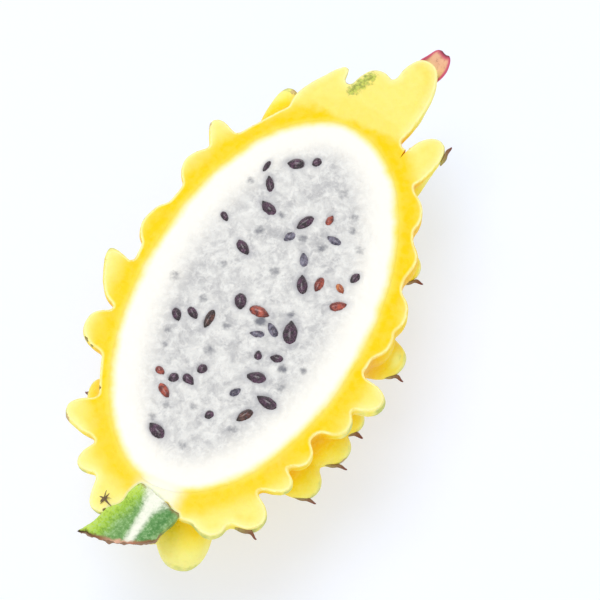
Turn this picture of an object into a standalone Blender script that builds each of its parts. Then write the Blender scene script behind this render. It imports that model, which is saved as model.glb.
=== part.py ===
"""Half of a yellow dragon fruit, cut lengthwise and lying on its back.

The cut face is level and looks up (+Z).  The long axis runs along X, with the
stem at -X and the flower end at +X.  The origin is at the middle of the
underside of the whole piece, on the surface that the half rests on.
"""
import math

import bmesh
import bpy
from mathutils import Matrix, Vector

MM = 0.001

# ---- driving sizes, in millimetres ------------------------------------------
FLESH_LENGTH = 90.0         # white flesh, along the cut face
FLESH_WIDTH = 48.4          # white flesh, across the cut face
FLESH_DEPTH = 24.2          # from the cut face to the bottom of the flesh
WALL_SIDE = 2.2             # rind between flesh and outside, at the sides
WALL_BOTTOM = 2.6           # the same, under the flesh
WALL_STEM_END = 2.5         # the same, at the stem
WALL_FLOWER_END = 5.5       # the same, at the flower end
REST_HEIGHT = 5.6           # how far the resting knobs hold the rind's belly up
PIECE_GAP = 0.3             # clearance between neighbouring pieces

STEM_LENGTH = 11.4
STEM_ROOT_RADIUS = 5.1
STEM_END_RADIUS = 6.4
STEM_SIDE = -1.5            # where the stem leaves the rind, across the face
STEM_TURN = 18.0            # degrees, toward +Y
STEM_END = (-10, -3, -6.5)  # direction that the end's slanting cut faces
STEM_SEAT = 1.9             # from the end of the flesh to the stem's root

BRACT_BREADTH = 0.6         # width over length
BRACT_THICKNESS = 1.1
BRACT_SEAT = 1.3            # length of a bract that sits inside its knob
BRACT_SIDE = 0.55           # from the knob's axis to the bract, over the tip's radius
BRACT_LEAN = 0.35           # slant of a bract away from that axis, as a slope

CLEFT_ROOT = (42.3, -12.8)  # narrow cleft beside the longest finger, from the flesh
CLEFT_MOUTH = (54.0, -14.6)
CLEFT_WIDTH = 2.6
CLEFT_DEPTH = 7.0

SEED_PROUD = 0.32           # share of a seed's thickness above the cut face
SEED_FLATNESS = 0.62        # thickness over width
SEED_POINT = 0.55           # how much the pointed end narrows

GRAIN = 1.05                # mesh size of the blended rind
RIND_DETAIL = 0.11          # share of the blended rind's faces that is kept

# ---- sizes that follow from them --------------------------------------------
CUT_Z = FLESH_DEPTH + WALL_BOTTOM + REST_HEIGHT
BODY_LENGTH = FLESH_LENGTH + WALL_STEM_END + WALL_FLOWER_END
BODY_MIDDLE = (WALL_FLOWER_END - WALL_STEM_END) / 2
BODY_HALF = (BODY_LENGTH / 2, FLESH_WIDTH / 2 + WALL_SIDE, FLESH_DEPTH + WALL_BOTTOM)
FLESH_HALF = (FLESH_LENGTH / 2, FLESH_WIDTH / 2, FLESH_DEPTH)

# ---- knobs of the rind ------------------------------------------------------
# along:  root, as a share of the body's half length (stem -1, flower end +1)
# around: root, in degrees about the long axis (0 = +Y rim, -90 = straight down,
#         -180 = -Y rim)
# reach, lean: length beyond the body, and its slant toward the flower end
# root, tip: radii of the knob at its root and its tip
# curl:   how far the tip hooks toward the flower end
# bract:  length of the dried bract at the tip, or 0
KNOBS = [
    # +Y rim, from the stem to the flower end
    (-0.96, -4, 9.2, -80, 4.4, 3.4, 0.0, 0.0),
    (-0.90, -3, 6.2, -35, 4.4, 2.8, -0.5, 0.0),
    (-0.77, -3, 7.4, -4, 5.0, 3.0, 0.0, 0.0),
    (-0.40, -3, 5.0, 0, 5.2, 4.0, 0.0, 0.0),
    (-0.18, -3, 9.0, 42, 5.2, 1.9, 1.0, 0.0),
    (0.14, -4, 2.8, 10, 7.5, 5.0, 0.0, 0.0),
    (0.45, -4, 3.6, 15, 6.5, 4.6, 0.0, 0.0),
    (0.59, -3, 6.8, 47, 3.8, 2.0, 0.0, 0.0),
    (0.92, -5, 12.6, 111, 3.6, 1.6, 0.0, 0.0),
    (0.985, -15, 4.6, 90, 3.4, 3.0, 0.0, 0.0),
    # flower end
    (0.998, -120, 10.0, 90, 5.2, 4.0, 0.0, 0.0),
    (0.95, -172, 18.6, 88, 4.5, 4.5, 0.0, 4.4),
    (0.80, -176, 9.6, 72, 3.8, 3.4, 0.0, 3.0),
    # -Y rim, from the flower end to the stem
    (0.62, -175, 1.6, 20, 6.0, 4.5, 0.0, 0.0),
    (0.40, -174, 1.8, 10, 7.0, 4.5, 0.0, 0.0),
    (0.16, -175, 3.0, 14, 6.0, 4.6, 0.0, 0.0),
    (0.02, -174, 2.4, 0, 5.6, 4.6, 0.0, 0.0),
    (-0.24, -177, 7.0, 0, 4.2, 3.2, 0.0, 0.0),
    (-0.385, -177, 4.4, -4, 4.4, 3.2, 0.0, 0.0),
    (-0.58, -177, 3.2, 0, 3.8, 2.8, 0.0, 0.0),
    (-0.72, -177, 5.4, -4, 3.8, 2.4, 0.0, 0.0),
    (-0.87, -176, 9.0, -13, 5.0, 3.8, 0.0, 3.0),
    (-0.93, -174, 7.4, -49, 4.6, 3.4, 0.0, 0.0),
    (-0.965, -175, 3.6, -62, 3.8, 3.2, 0.0, 0.0),
    # around the stem
    (-0.92, -120, 12.2, -58, 6.4, 5.2, 0.0, 0.0),
    (-0.93, -88, 9.0, -50, 5.6, 3.2, 0.0, 0.0),
    (-0.90, -50, 8.6, -44, 5.4, 3.0, 0.0, 0.0),
    # second row under the -Y rim
    (0.46, -156, 4.2, 20, 5.0, 3.0, 0.4, 2.8),
    (0.04, -158, 6.8, 8, 6.0, 3.8, 0.6, 3.2),
    (-0.27, -156, 5.8, 6, 5.0, 2.8, 0.4, 2.8),
    (-0.42, -157, 7.2, 2, 5.4, 3.8, 0.6, 3.4),
    (-0.58, -152, 8.0, -4, 5.2, 3.8, 0.4, 3.2),
    # flower end, below the cut
    (0.93, -118, 17.0, 84, 5.4, 3.2, -0.5, 3.6),
    (0.93, -50, 12.0, 88, 5.2, 2.8, -0.5, 3.0),
    (0.80, -145, 14.0, 72, 5.4, 2.8, 0.5, 3.2),
    (0.84, -84, 15.0, 76, 5.8, 2.8, 0.4, 0.0),
    (0.80, -26, 12.0, 78, 5.2, 2.6, 0.4, 0.0),
    (0.62, -125, 9.0, 44, 6.2, 2.8, 1.2, 0.0),
]
# Rows that run along the belly: around, first root, last root, count, reach,
# lean, bract.  Neighbouring rows are shifted by half a step, as on a pine cone.
ROWS = [
    (-28, -0.62, 0.58, 5, 7.6, 24, 3.2),
    (-54, -0.75, 0.75, 6, 8.0, 22, 0.0),
    (-80, -0.60, 0.60, 5, 8.0, 20, 0.0),
    (-106, -0.75, 0.45, 5, 8.0, 18, 0.0),
    (-131, -0.48, 0.42, 4, 8.0, 18, 0.0),
]
ROW_ROOT, ROW_TIP, ROW_CURL = 6.6, 3.0, 1.2
# The knobs that point down and sit this near to the middle reach below the
# surface, which cuts them flat.
REST_AROUND = (-110, -75)
REST_ALONG = 0.36
REST_SINK = 0.9

# ---- seeds: place on the cut face, length, width, heading of the round end ----
SEEDS = [
    (-3.6, -9.2, 5.2, 3.1, -162), (-2.0, -1.7, 4.3, 2.5, 90), (-1.5, 2.8, 3.6, 2.5, 22),
    (-4.4, -5.5, 4.0, 1.9, -129), (-6.7, -3.3, 3.3, 1.8, -74), (-7.6, 6.8, 4.5, 1.9, 0),
    (-7.9, 10.2, 3.2, 1.9, 55), (-9.4, 13.1, 3.1, 1.9, 41), (-10.1, -9.1, 2.7, 1.9, -80),
    (-10.9, -5.5, 2.1, 1.6, -160), (-15.6, -7.2, 4.2, 2.7, -81), (-18.3, 3.3, 2.3, 2.0, -32),
    (-19.6, -11.4, 4.6, 2.5, -102), (-20.1, -4.9, 2.7, 1.7, 146), (-21.6, 4.5, 3.2, 2.0, 64),
    (-22.1, 10.6, 2.3, 1.6, 70), (-22.4, 7.6, 2.3, 2.1, -40), (-24.1, -8.7, 3.8, 2.2, -36),
    (-25.7, 8.0, 3.8, 1.8, 53), (-26.9, -2.3, 2.1, 1.8, -23), (-34.1, 5.6, 4.2, 2.7, -119),
    (5.8, -15.5, 3.8, 2.0, 129), (7.1, -6.8, 4.4, 2.4, -153), (8.5, -9.9, 3.5, 1.9, 1),
    (9.4, -14.2, 2.5, 1.5, 52), (9.8, 7.4, 4.0, 2.2, 55), (12.8, -15.9, 2.7, 1.8, -17),
    (12.6, -4.7, 3.6, 1.8, -155), (14.9, 14.0, 2.4, 1.4, 52), (16.0, 0.1, 2.8, 2.0, -30),
    (19.1, -8.4, 3.5, 1.8, -105), (20.3, -1.4, 4.3, 2.2, -30), (20.4, 6.8, 4.1, 2.5, -119),
    (23.0, -5.8, 2.5, 1.5, 174), (25.7, 8.9, 3.8, 1.8, -149), (29.1, 11.2, 3.1, 1.3, -6),
    (32.1, 6.1, 3.8, 2.6, -70), (34.2, 2.3, 2.3, 1.9, -22),
]

COLOURS = {                 # base colour, roughness
    "rind": ((0.95, 0.66, 0.02, 1), 0.38),
    "flesh": ((0.86, 0.86, 0.83, 1), 0.30),
    "stem": ((0.27, 0.42, 0.13, 1), 0.55),
    "seed": ((0.02, 0.012, 0.018, 1), 0.25),
    "bract": ((0.30, 0.13, 0.07, 1), 0.75),
}

for old in list(bpy.data.objects):
    bpy.data.objects.remove(old, do_unlink=True)

parts = bpy.data.collections.new("dragon_fruit_half")
cutters = bpy.data.collections.new("cutters")
pockets = bpy.data.collections.new("seed_pockets")
sockets = bpy.data.collections.new("bract_sockets")
for collection in (parts, cutters, pockets, sockets):
    bpy.context.scene.collection.children.link(collection)

base = bpy.data.objects.new("half_fruit", None)
parts.objects.link(base)


def material(name):
    colour, roughness = COLOURS[name]
    made = bpy.data.materials.new(name)
    made.use_nodes = True
    shader = made.node_tree.nodes["Principled BSDF"]
    shader.inputs["Base Color"].default_value = colour
    shader.inputs["Roughness"].default_value = roughness
    shader.inputs["Metallic"].default_value = 0.0
    made.diffuse_color = colour
    return made


MATERIALS = {name: material(name) for name in COLOURS}


def add(name, bm, collection, look=None, smooth=True):
    """Turn a bmesh, made in millimetres, into an object in metres."""
    bm.transform(Matrix.Scale(MM, 4))
    bm.normal_update()
    mesh = bpy.data.meshes.new(name)
    bm.to_mesh(mesh)
    bm.free()
    made = bpy.data.objects.new(name, mesh)
    collection.objects.link(made)
    made.parent = base
    if look:
        mesh.materials.append(MATERIALS[look])
        if smooth:
            mesh.shade_smooth()
            mesh.set_sharp_from_angle(angle=math.radians(40))
    else:
        made.hide_render = True
        made.display_type = 'WIRE'
    return made


def boolean(target, operation, tool):
    cut = target.modifiers.new(operation.lower(), 'BOOLEAN')
    cut.operation = operation
    if isinstance(tool, bpy.types.Collection):
        cut.operand_type = 'COLLECTION'
        cut.collection = tool
    else:
        cut.object = tool


def ellipsoid(bm, half, middle, rings, segments):
    """An ellipsoid with its poles on the long (X) axis."""
    place = Matrix.Translation(middle) @ Matrix.Diagonal((*half, 1)) @ Matrix.Rotation(
        math.radians(90), 4, 'Y')
    bmesh.ops.create_uvsphere(bm, u_segments=segments, v_segments=rings, radius=1, matrix=place)


def on_body(along, around):
    """Point of the body's surface, and the directions outward and around there."""
    ring = math.sqrt(max(0.0, 1 - along * along))
    turn = math.radians(around)
    point = Vector((BODY_MIDDLE + along * BODY_HALF[0],
                    ring * BODY_HALF[1] * math.cos(turn),
                    CUT_Z + ring * BODY_HALF[2] * math.sin(turn)))
    return point, Vector((0, math.cos(turn), math.sin(turn)))


def knob_axis(along, around, lean):
    point, out = on_body(along, around)
    slant = math.radians(lean)
    return point, out * math.cos(slant) + Vector((math.sin(slant), 0, 0))


def knob(bm, point, axis, reach, root, tip, curl):
    """A blunt finger: a sphere drawn out along the axis and narrowed to its tip."""
    ball = bmesh.ops.create_uvsphere(bm, u_segments=14, v_segments=12, radius=1)["verts"]
    turn = axis.to_track_quat('Z', 'Y').to_matrix()
    for vert in ball:
        x, y, z = vert.co
        grown = (z + 1) / 2
        wide = (1 - abs(z) ** 2.5) ** 0.4 / max(math.sqrt(1 - z * z), 1e-6) if abs(z) < 1 else 0
        size = (root + (tip - root) * grown ** 1.2) * wide
        local = Vector((x * size, y * size, -root + (reach + root) * grown))
        vert.co = point + turn @ local + Vector((curl * grown ** 3, 0, 0))


def row_knobs():
    for number, (around, first, last, count, reach, lean, bract) in enumerate(ROWS):
        for i in range(count):
            along = first + (last - first) * i / (count - 1)
            point, axis = knob_axis(along, around, lean)
            rests = REST_AROUND[0] <= around <= REST_AROUND[1] and abs(along) <= REST_ALONG
            yield (along, around, (point.z + REST_SINK) / -axis.z if rests else reach, lean,
                   ROW_ROOT, ROW_TIP, ROW_CURL, bract)


# ---- rind: body and knobs blended, hollowed for the flesh, cut and rested -----
all_knobs = KNOBS + list(row_knobs())
blend = bmesh.new()
ellipsoid(blend, BODY_HALF, Vector((BODY_MIDDLE, 0, CUT_Z)), 24, 32)
for along, around, reach, lean, root, tip, curl, bract in all_knobs:
    knob(blend, *knob_axis(along, around, lean), reach, root, tip, curl)
rind = add("rind", blend, parts, "rind")

remesh = rind.modifiers.new("blend", 'REMESH')
remesh.mode = 'VOXEL'
remesh.voxel_size = GRAIN * MM
fair = rind.modifiers.new("fair", 'SMOOTH')
fair.factor = 0.5
fair.iterations = 3
coarse = rind.modifiers.new("coarse", 'DECIMATE')
coarse.ratio = RIND_DETAIL

slab = bmesh.new()
bmesh.ops.create_cube(slab, size=1, matrix=Matrix.Translation((0, 0, CUT_Z / 2))
                      @ Matrix.Diagonal((BODY_LENGTH * 3, BODY_LENGTH * 3, CUT_Z, 1)))
boolean(rind, 'INTERSECT', add("cut_and_surface", slab, cutters))

cleft = bmesh.new()
root, mouth = Vector((*CLEFT_ROOT, 0)), Vector((*CLEFT_MOUTH, 0))
across = (mouth - root).cross(Vector((0, 0, 1))).normalized() * CLEFT_WIDTH / 2
wedge = [[cleft.verts.new(corner + Vector((0, 0, CUT_Z + z))) for corner in
          (root, mouth + across, mouth - across)] for z in (-CLEFT_DEPTH, 2)]
cleft.faces.new(reversed(wedge[0]))
cleft.faces.new(wedge[1])
for i in range(3):
    cleft.faces.new((wedge[0][i], wedge[0][i - 2], wedge[1][i - 2], wedge[1][i]))
bmesh.ops.recalc_face_normals(cleft, faces=cleft.faces)
boolean(rind, 'DIFFERENCE', add("cleft", cleft, cutters))

hollow = bmesh.new()
ellipsoid(hollow, [h + PIECE_GAP for h in FLESH_HALF], Vector((0, 0, CUT_Z)), 18, 24)
boolean(rind, 'DIFFERENCE', add("flesh_hollow", hollow, cutters))


# ---- stem: a stub cut lengthwise with the fruit ------------------------------
def stem_shape(extra, height):
    """The stub, grown by `extra` all round, up to `height`."""
    bm = bmesh.new()
    root = Vector((-FLESH_LENGTH / 2 - STEM_SEAT, STEM_SIDE, CUT_Z))
    turn = Matrix.Rotation(math.radians(-STEM_TURN), 4, 'Z')
    length = STEM_LENGTH * 1.6 + extra
    bmesh.ops.create_cone(
        bm, cap_ends=True, segments=12, radius1=STEM_ROOT_RADIUS + extra,
        radius2=STEM_END_RADIUS + extra, depth=length,
        matrix=Matrix.Translation(root) @ turn @ Matrix.Rotation(math.radians(-90), 4, 'Y')
        @ Matrix.Translation((0, 0, length / 2 - extra)))
    facing = Vector(STEM_END).normalized()
    end = root + turn @ Vector((-STEM_LENGTH, 0, 0)) + facing * extra
    for point, normal in (((0, 0, height), (0, 0, 1)), (end, facing)):
        bmesh.ops.bisect_plane(bm, geom=bm.verts[:] + bm.edges[:] + bm.faces[:],
                               plane_co=point, plane_no=normal, clear_outer=True)
        bmesh.ops.holes_fill(bm, edges=[e for e in bm.edges if e.is_boundary])
    return bm


add("stem", stem_shape(0, CUT_Z), parts, "stem")
boolean(rind, 'DIFFERENCE', add("stem_socket", stem_shape(PIECE_GAP, CUT_Z + 2), cutters))


# ---- bracts: dried scales seated in the knobs' tips --------------------------
def bract_shape(point, axis, length, extra):
    bm = bmesh.new()
    turn = axis.to_track_quat('Z', 'Y').to_matrix().to_4x4()
    bmesh.ops.create_cone(
        bm, cap_ends=True, segments=8, radius1=0.5, radius2=0.14,
        depth=length + extra,
        matrix=Matrix.Translation(point) @ turn
        @ Matrix.Translation((0, 0, (length - extra) / 2 - BRACT_SEAT))
        @ Matrix.Diagonal((BRACT_THICKNESS + 2 * extra, length * BRACT_BREADTH + 2 * extra, 1, 1)))
    return bm


count = 0
for along, around, reach, lean, root, tip, curl, bract in all_knobs:
    if not bract:
        continue
    count += 1
    point, axis = knob_axis(along, around, lean)
    turn, slant = math.radians(around), math.radians(lean)
    side = (Vector((0, math.cos(turn), math.sin(turn))) * math.sin(slant)
            - Vector((math.cos(slant), 0, 0)))
    end = point + axis * reach + Vector((curl, 0, 0)) + side * (tip * BRACT_SIDE)
    axis = (axis + side * BRACT_LEAN).normalized()
    add(f"bract_{count:02d}", bract_shape(end, axis, bract, 0), parts, "bract")
    add(f"bract_socket_{count:02d}", bract_shape(end, axis, bract, PIECE_GAP), sockets)
boolean(rind, 'DIFFERENCE', sockets)

# ---- flesh: half an ellipsoid, with a pocket for each seed -------------------
half = bmesh.new()
ellipsoid(half, FLESH_HALF, Vector((0, 0, CUT_Z)), 18, 24)
bmesh.ops.bisect_plane(half, geom=half.verts[:] + half.edges[:] + half.faces[:], dist=1e-3,
                       plane_co=(0, 0, CUT_Z), plane_no=(0, 0, 1), clear_outer=True)
bmesh.ops.remove_doubles(half, verts=half.verts, dist=1e-3)
bmesh.ops.holes_fill(half, edges=[e for e in half.edges if e.is_boundary])
flesh = add("flesh", half, parts, "flesh")


def seed_shape(x, y, length, width, heading, extra):
    """A flattened drop, lying on the cut face, narrowed to a blunt point."""
    bm = bmesh.new()
    thick = width * SEED_FLATNESS
    bmesh.ops.create_uvsphere(bm, u_segments=8, v_segments=6, radius=0.5,
                              matrix=Matrix.Rotation(math.radians(90), 4, 'Y'))
    for vert in bm.verts:
        narrow = 1 - SEED_POINT * max(0.0, 0.25 - vert.co.x) ** 1.4
        vert.co.x *= length + 2 * extra
        vert.co.y *= (width + 2 * extra) * narrow
        vert.co.z *= (thick + 2 * extra) * narrow
    bm.transform(Matrix.Translation((x, y, CUT_Z + thick * (SEED_PROUD - 0.5)))
                 @ Matrix.Rotation(math.radians(heading), 4, 'Z'))
    return bm


for number, seed in enumerate(SEEDS, 1):
    add(f"seed_{number:02d}", seed_shape(*seed, 0), parts, "seed")
    add(f"seed_pocket_{number:02d}", seed_shape(*seed, PIECE_GAP), pockets)
boolean(flesh, 'DIFFERENCE', pockets)

# ---- the origin goes under the middle of the whole piece ---------------------
graph = bpy.context.evaluated_depsgraph_get()
corners = [Vector(c) for o in parts.objects if o.type == 'MESH'
           for c in o.evaluated_get(graph).bound_box]
for axis in (0, 1):
    spread = [c[axis] for c in corners]
    base.location[axis] = -(min(spread) + max(spread)) / 2
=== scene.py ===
"""Half of a yellow dragon fruit, lying on its back with the cut face up.

Sizes are in millimetres and are turned into metres by MM.  Places are counted
from the middle of the white flesh on the cut face: x runs along the fruit from
the stem (-) to the flower end (+), y across it, and z is 0 on the cut face and
negative below it.
"""
import math
import random

import bpy
import numpy as np
from mathutils import Matrix, Vector, kdtree, noise


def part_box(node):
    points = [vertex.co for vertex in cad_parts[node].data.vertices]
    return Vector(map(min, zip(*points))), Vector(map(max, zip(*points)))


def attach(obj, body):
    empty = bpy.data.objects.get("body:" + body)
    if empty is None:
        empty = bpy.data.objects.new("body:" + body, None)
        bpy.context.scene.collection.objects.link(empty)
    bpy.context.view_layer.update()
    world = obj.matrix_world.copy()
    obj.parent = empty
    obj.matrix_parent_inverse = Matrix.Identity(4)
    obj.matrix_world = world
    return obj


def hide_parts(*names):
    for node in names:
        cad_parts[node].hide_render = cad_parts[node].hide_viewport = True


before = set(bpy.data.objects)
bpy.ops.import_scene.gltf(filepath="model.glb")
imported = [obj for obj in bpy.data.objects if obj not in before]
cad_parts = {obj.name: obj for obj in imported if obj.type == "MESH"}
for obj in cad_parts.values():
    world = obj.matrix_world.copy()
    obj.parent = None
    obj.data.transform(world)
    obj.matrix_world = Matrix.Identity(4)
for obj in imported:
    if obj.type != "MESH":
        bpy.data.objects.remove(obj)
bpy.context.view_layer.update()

MM = 0.001
CUT, SKIN, PITH = 0, 1, 2

flesh_low, flesh_high = (Vector(corner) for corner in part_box("flesh"))
HEART = Vector(((flesh_low.x + flesh_high.x) / 2, (flesh_low.y + flesh_high.y) / 2, flesh_high.z))
FLESH_LONG = (flesh_high.x - flesh_low.x) / 2 / MM
FLESH_WIDE = (flesh_high.y - flesh_low.y) / 2 / MM
FLESH_DEEP = (flesh_high.z - flesh_low.z) / MM
TABLE_Z = -HEART.z / MM

# ---- the peel's body and its knobs --------------------------------------------
BODY_X = 1.5
BODY_HALF = (49.0, 26.4, 26.8)
# share of the half length, degrees round the long axis, reach, lean toward the
# flower end, root radius, tip radius, hook of the tip, length of the dried bract
KNOBS = [
    (-0.96, -4, 9.2, -80, 4.4, 3.4, 0, 0), (-0.90, -3, 6.2, -35, 4.4, 2.8, -0.5, 0.0),
    (-0.77, -3, 7.4, -4, 5.0, 3.0, 0, 0), (-0.40, -3, 5.0, 0, 5.2, 4.0, 0, 0),
    (-0.18, -3, 9.0, 42, 5.2, 1.9, 1.0, 0.0), (0.14, -4, 2.8, 10, 7.5, 5.0, 0, 0),
    (0.45, -4, 3.6, 15, 6.5, 4.6, 0, 0), (0.59, -3, 6.8, 47, 3.8, 2.0, 0, 0),
    (0.92, -5, 12.6, 111, 3.6, 1.6, 0, 0), (0.985, -15, 4.6, 90, 3.4, 3.0, 0, 0),
    (0.998, -120, 10.0, 90, 5.2, 4.0, 0, 0), (0.95, -172, 18.6, 88, 4.5, 4.5, 0.0, 4.4),
    (0.80, -176, 9.6, 72, 3.8, 3.4, 0.0, 3.0),
    (0.62, -175, 1.6, 20, 6.0, 4.5, 0, 0), (0.40, -174, 1.8, 10, 7.0, 4.5, 0, 0),
    (0.16, -175, 3.0, 14, 6.0, 4.6, 0, 0), (0.02, -174, 2.4, 0, 5.6, 4.6, 0, 0),
    (-0.24, -177, 7.0, 0, 4.2, 3.2, 0, 0), (-0.385, -177, 4.4, -4, 4.4, 3.2, 0, 0),
    (-0.58, -177, 3.2, 0, 3.8, 2.8, 0, 0), (-0.72, -177, 5.4, -4, 3.8, 2.4, 0, 0),
    (-0.87, -176, 9.0, -13, 5.0, 3.8, 0.0, 3.0), (-0.93, -174, 7.4, -49, 4.6, 3.4, 0, 0),
    (-0.965, -175, 3.6, -62, 3.8, 3.2, 0, 0),
    (-0.92, -120, 12.2, -58, 6.4, 5.2, 0, 0), (-0.93, -88, 9.0, -50, 5.6, 3.2, 0, 0),
    (-0.90, -50, 8.6, -44, 5.4, 3.0, 0, 0), (0.46, -156, 4.2, 20, 5.0, 3.0, 0.4, 2.8),
    (0.04, -158, 6.8, 8, 6.0, 3.8, 0.6, 3.2), (-0.27, -156, 5.8, 6, 5.0, 2.8, 0.4, 2.8),
    (-0.42, -157, 7.2, 2, 5.4, 3.8, 0.6, 3.4), (-0.58, -152, 8.0, -4, 5.2, 3.8, 0.4, 3.2),
    (0.93, -118, 17.0, 84, 5.4, 3.2, -0.5, 3.6), (0.93, -50, 12.0, 88, 5.2, 2.8, -0.5, 3.0),
    (0.80, -145, 14.0, 72, 5.4, 2.8, 0.5, 3.2), (0.84, -84, 15.0, 76, 5.8, 2.8, 0.4, 0.0),
    (0.80, -26, 12.0, 78, 5.2, 2.6, 0.4, 0.0), (0.62, -125, 9.0, 44, 6.2, 2.8, 1.2, 0.0),
]
# rows along the belly: degrees, first, last, count, reach, lean, bract
ROWS = [(-28, -0.62, 0.58, 5, 7.6, 24, 3.2), (-54, -0.75, 0.75, 6, 8.0, 22, 0.0),
        (-80, -0.60, 0.60, 5, 8.0, 20, 0.0), (-106, -0.75, 0.45, 5, 8.0, 18, 0.0),
        (-131, -0.48, 0.42, 4, 8.0, 18, 0.0)]
ROW_ROOT, ROW_TIP, ROW_CURL = 6.6, 3.0, 1.2
# the knobs that stand on the table, and how deep they are pressed
REST_AROUND, REST_ALONG, REST_SINK = (-110, -75), 0.36, 0.9
PINK_BRACT = 1              # the bract on the longest finger has kept its colour
CLEFT_ROOT, CLEFT_MOUTH = Vector((42.3, -12.8, 0)), Vector((54.0, -14.6, 0))
CLEFT_WIDTH, CLEFT_DEPTH = 2.6, 7.0
# brown flecks on the skin and along its edge: place, reach
FLECKS = [(-51.6, 8.6, -0.2, 1.6), (-54.6, 6.0, -0.6, 1.6), (-53.4, 7.4, -0.4, 1.2),
          (-21.6, 27.2, -0.6, 1.2), (-22.6, 25.6, -0.6, 0.9), (-30.4, 20.2, -0.2, 1.2),
          (1.4, 28.2, -0.8, 1.5), (4.4, 28.8, -0.8, 1.3), (8.2, 29.0, -0.7, 1.2),
          (11.6, 28.8, -0.6, 0.9), (48.5, -13.3, -0.4, 0.8), (52.6, 4.4, -0.2, 1.2),
          (54.6, 4.3, -0.2, 1.0), (-46.5, -6.8, -0.4, 1.1)]
# a green bruise on the cut, from one end to the other
BRUISE = ((53.0, 2.8), (58.0, 0.6), 2.6)
TUFT_AT = (-51.4, 8.4, -0.1)

STEM_ROOT = Vector((-46.9, -1.5, 0))
STEM_TURN = math.radians(-18)
STEM_LONG, STEM_ROOT_R, STEM_END_R = 11.4, 5.1, 6.4
STEM_END = Vector((-10, -3, -6.5)).normalized()
STEM_AHEAD = Vector((-math.cos(STEM_TURN), -math.sin(STEM_TURN), 0))
STEM_ASIDE = Vector((STEM_AHEAD.y, -STEM_AHEAD.x, 0))

# place, length, width, heading of the round end, and how the seed looks:
# d dark, r brick red, o orange, b brown, v veiled by pulp
SEEDS = [
    (-3.6, -9.2, 5.2, 3.1, -162, "d"), (-2.0, -1.7, 4.3, 2.5, 90, "r"),
    (-1.5, 2.8, 3.6, 2.5, 22, "d"), (-4.4, -5.5, 4.0, 1.9, -129, "v"),
    (-6.7, -3.3, 3.3, 1.8, -74, "v"), (-7.6, 6.8, 4.5, 1.9, 0, "b"),
    (-7.9, 10.2, 3.2, 1.9, 55, "d"), (-9.4, 13.1, 3.1, 1.9, 41, "d"),
    (-10.1, -9.1, 2.7, 1.9, -80, "d"), (-10.9, -5.5, 2.1, 1.6, -160, "d"),
    (-15.6, -7.2, 4.2, 2.7, -81, "d"), (-18.3, 3.3, 2.3, 2.0, -32, "d"),
    (-19.6, -11.4, 4.6, 2.5, -102, "d"), (-20.1, -4.9, 2.7, 1.7, 146, "v"),
    (-21.6, 4.5, 3.2, 2.0, 64, "d"), (-22.1, 10.6, 2.3, 1.6, 70, "r"),
    (-22.4, 7.6, 2.3, 2.1, -40, "d"), (-24.1, -8.7, 3.8, 2.2, -36, "b"),
    (-25.7, 8.0, 3.8, 1.8, 53, "r"), (-26.9, -2.3, 2.1, 1.8, -23, "d"),
    (-34.1, 5.6, 4.2, 2.7, -119, "d"), (5.8, -15.5, 3.8, 2.0, 129, "r"),
    (7.1, -6.8, 4.4, 2.4, -153, "d"), (8.5, -9.9, 3.5, 1.9, 1, "r"),
    (9.4, -14.2, 2.5, 1.5, 52, "o"), (9.8, 7.4, 4.0, 2.2, 55, "d"),
    (12.8, -15.9, 2.7, 1.8, -17, "d"), (12.6, -4.7, 3.6, 1.8, -155, "v"),
    (14.9, 14.0, 2.4, 1.4, 52, "d"), (16.0, 0.1, 2.8, 2.0, -30, "v"),
    (19.1, -8.4, 3.5, 1.8, -105, "v"), (20.3, -1.4, 4.3, 2.2, -30, "d"),
    (20.4, 6.8, 4.1, 2.5, -119, "d"), (23.0, -5.8, 2.5, 1.5, 174, "r"),
    (25.7, 8.9, 3.8, 1.8, -149, "d"), (29.1, 11.2, 3.1, 1.3, -6, "d"),
    (32.1, 6.1, 3.8, 2.6, -70, "d"), (34.2, 2.3, 2.3, 1.9, -22, "d"),
]
SEED_PROUD, SEED_FLAT = 0.32, 0.62          # shares of a seed's thickness and width
# seeds that show only as a shadow through the pulp: place, size, darkness
GHOSTS = [
    (-7.7, 3.1, 1.0, 0.55), (-3.9, 9.8, 1.1, 0.5), (-13.1, 13.3, 1.0, 0.5), (-16.4, 12.6, 0.9, 0.4),
    (-14.0, 3.8, 1.2, 0.5), (0.0, -7.8, 0.9, 0.6), (-26.4, 1.4, 1.0, 0.5), (-31.7, 7.5, 1.0, 0.45),
    (-11.7, -11.2, 1.1, 0.7), (-10.4, -15.2, 0.9, 0.6), (29.7, -5.9, 1.3, 0.5),
    (-15.7, -12.6, 1.0, 0.5), (24.7, 12.7, 1.0, 0.5), (16.5, -7.1, 1.1, 0.6), (-1.7, 17.3, 1.2, 0.45),
    (-27.7, -7.7, 1.1, 0.45), (19.1, -14.1, 1.1, 0.4), (14.9, 6.2, 1.2, 0.55), (7.7, -0.6, 1.2, 0.5),
    (-28.3, 6.2, 0.9, 0.5), (16.8, -2.5, 1.1, 0.6), (20.0, 3.4, 1.0, 0.55), (25.5, -10.2, 1.1, 0.45),
    (22.6, -11.0, 1.0, 0.45), (4.9, 9.4, 1.0, 0.45), (-34.8, -0.6, 1.2, 0.45), (-3.9, -2.8, 1.1, 0.9),
]


# fineness of the meshes: first blend, then finished
PEEL_BLEND, PEEL_FINE = 0.6, 0.52
STEM_BLEND, STEM_FINE = 0.42, 0.3

# ---- picture --------------------------------------------------------------------
CAMERA_AT = (-252.389, -125.187, 529.816)
CAMERA_AIM = (3.727, -7.928, 0.047)
ROOM_BRIGHTNESS = 0.77
DISC_RADIUS, DISC_RIM, DISC_GROWTH = 0.35, 0.2, 8       # the table, in metres


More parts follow.
